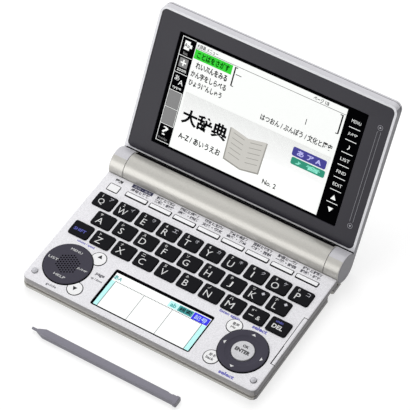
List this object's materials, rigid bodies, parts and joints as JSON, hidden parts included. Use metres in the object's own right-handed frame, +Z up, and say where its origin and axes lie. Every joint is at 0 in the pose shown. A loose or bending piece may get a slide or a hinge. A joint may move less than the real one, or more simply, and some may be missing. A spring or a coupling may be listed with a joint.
{
  "type": "electronic dictionary",
  "caption": "Clamshell electronic dictionary with a keyboard base, a hinged screen lid on a battery barrel, a small touch screen and a stylus.",
  "frame": {"origin": "on the desk plane, midway across the width and midway between the stylus in front and the back of the open lid", "axes": "+X to the user's right along the hinge, +Y from the front edge towards the hinge, +Z up from the desk"},
  "size_m": [0.148, 0.1768, 0.0873],
  "materials": {
    "champagne_plastic": "satin metallic paint over plastic",
    "panel_paint": "satin metallic paint over plastic",
    "lid_paint": "satin metallic paint over plastic",
    "bezel": "semi-gloss",
    "screen": "glossy lit display",
    "black_key": "matte with printed legends",
    "grey_disc": "satin",
    "white_key": "satin with printed legends",
    "silver_key": "satin",
    "rubber": "matt rubber",
    "steel": "zinc plated",
    "battery_cell": "printed sleeve",
    "board": "green solder mask",
    "mat": "silicone",
    "speaker": "moulded frame",
    "stylus": "satin"
  },
  "bodies": {
    "base": {"bottom_case": "champagne_plastic", "top_case": "panel_paint", "batteries": "battery_cell", "circuit_board": "board", "key_mat": "mat", "speaker": "speaker", "case_screws": "steel", "rubber_pads": "rubber", "front_display": "screen", "hinge_shafts": "steel"},
    "lid": {"lid_back_cover": "lid_paint", "lid_bezel": "bezel", "main_display": "screen"},
    "battery_cover": {"battery_cover": "champagne_plastic"},
    "stylus": {"stylus": "stylus"},
    "q_key": {"q_key": "black_key"},
    "w_key": {"w_key": "black_key"},
    "e_key": {"e_key": "black_key"},
    "r_key": {"r_key": "black_key"},
    "t_key": {"t_key": "black_key"},
    "y_key": {"y_key": "black_key"},
    "u_key": {"u_key": "black_key"},
    "i_key": {"i_key": "black_key"},
    "o_key": {"o_key": "black_key"},
    "p_key": {"p_key": "black_key"},
    "a_key": {"a_key": "black_key"},
    "s_key": {"s_key": "black_key"},
    "d_key": {"d_key": "black_key"},
    "f_key": {"f_key": "black_key"},
    "g_key": {"g_key": "black_key"},
    "h_key": {"h_key": "black_key"},
    "j_key": {"j_key": "black_key"},
    "k_key": {"k_key": "black_key"},
    "l_key": {"l_key": "black_key"},
    "shift_key": {"shift_key": "black_key"},
    "z_key": {"z_key": "black_key"},
    "x_key": {"x_key": "black_key"},
    "c_key": {"c_key": "black_key"},
    "v_key": {"v_key": "black_key"},
    "b_key": {"b_key": "black_key"},
    "n_key": {"n_key": "black_key"},
    "m_key": {"m_key": "black_key"},
    "symbol_key": {"symbol_key": "black_key"},
    "delete_key": {"delete_key": "black_key"},
    "function_key_1": {"function_key_1": "silver_key"},
    "function_key_2": {"function_key_2": "silver_key"},
    "function_key_3": {"function_key_3": "silver_key"},
    "function_key_4": {"function_key_4": "silver_key"},
    "function_key_5": {"function_key_5": "silver_key"},
    "function_key_6": {"function_key_6": "silver_key"},
    "function_key_7": {"function_key_7": "silver_key"},
    "function_key_8": {"function_key_8": "silver_key"},
    "power_key": {"power_key": "white_key"},
    "page_up_key": {"page_up_key": "white_key"},
    "page_down_key": {"page_down_key": "white_key"},
    "voice_key": {"voice_key": "white_key"},
    "back_key": {"back_key": "white_key"},
    "cursor_ring": {"cursor_ring": "grey_disc"},
    "enter_key": {"enter_key": "silver_key"},
    "speaker_disc": {"speaker_disc": "grey_disc"}
  },
  "joints": [
    {"name": "lid_hinge", "type": "hinge", "parent": "base", "child": "lid", "pos_m": [0, 0.02895, 0.0095], "axis": [1, 0, 0], "range_deg": [-33, 123.8]},
    {"name": "battery_cover_slide", "type": "slide", "parent": "base", "child": "battery_cover", "axis": [0, 0.6428, -0.766], "range_m": [0, 0.01]},
    {"name": "stylus_lift", "type": "slide", "parent": "base", "child": "stylus", "axis": [0, 0, 1], "range_m": [0, 0.08]},
    {"name": "q_key_press", "type": "slide", "parent": "base", "child": "q_key", "axis": [0, 0, -1], "range_m": [0, 0.0005], "stiffness_N_per_m": 400},
    {"name": "w_key_press", "type": "slide", "parent": "base", "child": "w_key", "axis": [0, 0, -1], "range_m": [0, 0.0005], "stiffness_N_per_m": 400},
    {"name": "e_key_press", "type": "slide", "parent": "base", "child": "e_key", "axis": [0, 0, -1], "range_m": [0, 0.0005], "stiffness_N_per_m": 400},
    {"name": "r_key_press", "type": "slide", "parent": "base", "child": "r_key", "axis": [0, 0, -1], "range_m": [0, 0.0005], "stiffness_N_per_m": 400},
    {"name": "t_key_press", "type": "slide", "parent": "base", "child": "t_key", "axis": [0, 0, -1], "range_m": [0, 0.0005], "stiffness_N_per_m": 400},
    {"name": "y_key_press", "type": "slide", "parent": "base", "child": "y_key", "axis": [0, 0, -1], "range_m": [0, 0.0005], "stiffness_N_per_m": 400},
    {"name": "u_key_press", "type": "slide", "parent": "base", "child": "u_key", "axis": [0, 0, -1], "range_m": [0, 0.0005], "stiffness_N_per_m": 400},
    {"name": "i_key_press", "type": "slide", "parent": "base", "child": "i_key", "axis": [0, 0, -1], "range_m": [0, 0.0005], "stiffness_N_per_m": 400},
    {"name": "o_key_press", "type": "slide", "parent": "base", "child": "o_key", "axis": [0, 0, -1], "range_m": [0, 0.0005], "stiffness_N_per_m": 400},
    {"name": "p_key_press", "type": "slide", "parent": "base", "child": "p_key", "axis": [0, 0, -1], "range_m": [0, 0.0005], "stiffness_N_per_m": 400},
    {"name": "a_key_press", "type": "slide", "parent": "base", "child": "a_key", "axis": [0, 0, -1], "range_m": [0, 0.0005], "stiffness_N_per_m": 400},
    {"name": "s_key_press", "type": "slide", "parent": "base", "child": "s_key", "axis": [0, 0, -1], "range_m": [0, 0.0005], "stiffness_N_per_m": 400},
    {"name": "d_key_press", "type": "slide", "parent": "base", "child": "d_key", "axis": [0, 0, -1], "range_m": [0, 0.0005], "stiffness_N_per_m": 400},
    {"name": "f_key_press", "type": "slide", "parent": "base", "child": "f_key", "axis": [0, 0, -1], "range_m": [0, 0.0005], "stiffness_N_per_m": 400},
    {"name": "g_key_press", "type": "slide", "parent": "base", "child": "g_key", "axis": [0, 0, -1], "range_m": [0, 0.0005], "stiffness_N_per_m": 400},
    {"name": "h_key_press", "type": "slide", "parent": "base", "child": "h_key", "axis": [0, 0, -1], "range_m": [0, 0.0005], "stiffness_N_per_m": 400},
    {"name": "j_key_press", "type": "slide", "parent": "base", "child": "j_key", "axis": [0, 0, -1], "range_m": [0, 0.0005], "stiffness_N_per_m": 400},
    {"name": "k_key_press", "type": "slide", "parent": "base", "child": "k_key", "axis": [0, 0, -1], "range_m": [0, 0.0005], "stiffness_N_per_m": 400},
    {"name": "l_key_press", "type": "slide", "parent": "base", "child": "l_key", "axis": [0, 0, -1], "range_m": [0, 0.0005], "stiffness_N_per_m": 400},
    {"name": "shift_key_press", "type": "slide", "parent": "base", "child": "shift_key", "axis": [0, 0, -1], "range_m": [0, 0.0005], "stiffness_N_per_m": 400},
    {"name": "z_key_press", "type": "slide", "parent": "base", "child": "z_key", "axis": [0, 0, -1], "range_m": [0, 0.0005], "stiffness_N_per_m": 400},
    {"name": "x_key_press", "type": "slide", "parent": "base", "child": "x_key", "axis": [0, 0, -1], "range_m": [0, 0.0005], "stiffness_N_per_m": 400},
    {"name": "c_key_press", "type": "slide", "parent": "base", "child": "c_key", "axis": [0, 0, -1], "range_m": [0, 0.0005], "stiffness_N_per_m": 400},
    {"name": "v_key_press", "type": "slide", "parent": "base", "child": "v_key", "axis": [0, 0, -1], "range_m": [0, 0.0005], "stiffness_N_per_m": 400},
    {"name": "b_key_press", "type": "slide", "parent": "base", "child": "b_key", "axis": [0, 0, -1], "range_m": [0, 0.0005], "stiffness_N_per_m": 400},
    {"name": "n_key_press", "type": "slide", "parent": "base", "child": "n_key", "axis": [0, 0, -1], "range_m": [0, 0.0005], "stiffness_N_per_m": 400},
    {"name": "m_key_press", "type": "slide", "parent": "base", "child": "m_key", "axis": [0, 0, -1], "range_m": [0, 0.0005], "stiffness_N_per_m": 400},
    {"name": "symbol_key_press", "type": "slide", "parent": "base", "child": "symbol_key", "axis": [0, 0, -1], "range_m": [0, 0.0005], "stiffness_N_per_m": 400},
    {"name": "delete_key_press", "type": "slide", "parent": "base", "child": "delete_key", "axis": [0, 0, -1], "range_m": [0, 0.0005], "stiffness_N_per_m": 400},
    {"name": "function_key_1_press", "type": "slide", "parent": "base", "child": "function_key_1", "axis": [0, 0, -1], "range_m": [0, 0.0005], "stiffness_N_per_m": 300},
    {"name": "function_key_2_press", "type": "slide", "parent": "base", "child": "function_key_2", "axis": [0, 0, -1], "range_m": [0, 0.0005], "stiffness_N_per_m": 300},
    {"name": "function_key_3_press", "type": "slide", "parent": "base", "child": "function_key_3", "axis": [0, 0, -1], "range_m": [0, 0.0005], "stiffness_N_per_m": 300},
    {"name": "function_key_4_press", "type": "slide", "parent": "base", "child": "function_key_4", "axis": [0, 0, -1], "range_m": [0, 0.0005], "stiffness_N_per_m": 300},
    {"name": "function_key_5_press", "type": "slide", "parent": "base", "child": "function_key_5", "axis": [0, 0, -1], "range_m": [0, 0.0005], "stiffness_N_per_m": 300},
    {"name": "function_key_6_press", "type": "slide", "parent": "base", "child": "function_key_6", "axis": [0, 0, -1], "range_m": [0, 0.0005], "stiffness_N_per_m": 300},
    {"name": "function_key_7_press", "type": "slide", "parent": "base", "child": "function_key_7", "axis": [0, 0, -1], "range_m": [0, 0.0005], "stiffness_N_per_m": 300},
    {"name": "function_key_8_press", "type": "slide", "parent": "base", "child": "function_key_8", "axis": [0, 0, -1], "range_m": [0, 0.0005], "stiffness_N_per_m": 300},
    {"name": "power_key_press", "type": "slide", "parent": "base", "child": "power_key", "axis": [0, 0, -1], "range_m": [0, 0.0005], "stiffness_N_per_m": 300},
    {"name": "page_up_key_press", "type": "slide", "parent": "base", "child": "page_up_key", "axis": [0, 0, -1], "range_m": [0, 0.0005], "stiffness_N_per_m": 300},
    {"name": "page_down_key_press", "type": "slide", "parent": "base", "child": "page_down_key", "axis": [0, 0, -1], "range_m": [0, 0.0005], "stiffness_N_per_m": 300},
    {"name": "voice_key_press", "type": "slide", "parent": "base", "child": "voice_key", "axis": [0, 0, -1], "range_m": [0, 0.0005], "stiffness_N_per_m": 300},
    {"name": "back_key_press", "type": "slide", "parent": "base", "child": "back_key", "axis": [0, 0, -1], "range_m": [0, 0.0005], "stiffness_N_per_m": 300},
    {"name": "cursor_ring_press", "type": "slide", "parent": "base", "child": "cursor_ring", "axis": [0, 0, -1], "range_m": [0, 0.0005], "stiffness_N_per_m": 300},
    {"name": "enter_key_press", "type": "slide", "parent": "base", "child": "enter_key", "axis": [0, 0, -1], "range_m": [0, 0.0005], "stiffness_N_per_m": 300},
    {"name": "speaker_disc_press", "type": "slide", "parent": "base", "child": "speaker_disc", "axis": [0, 0, -1], "range_m": [0, 0.0005], "stiffness_N_per_m": 300}
  ]
}
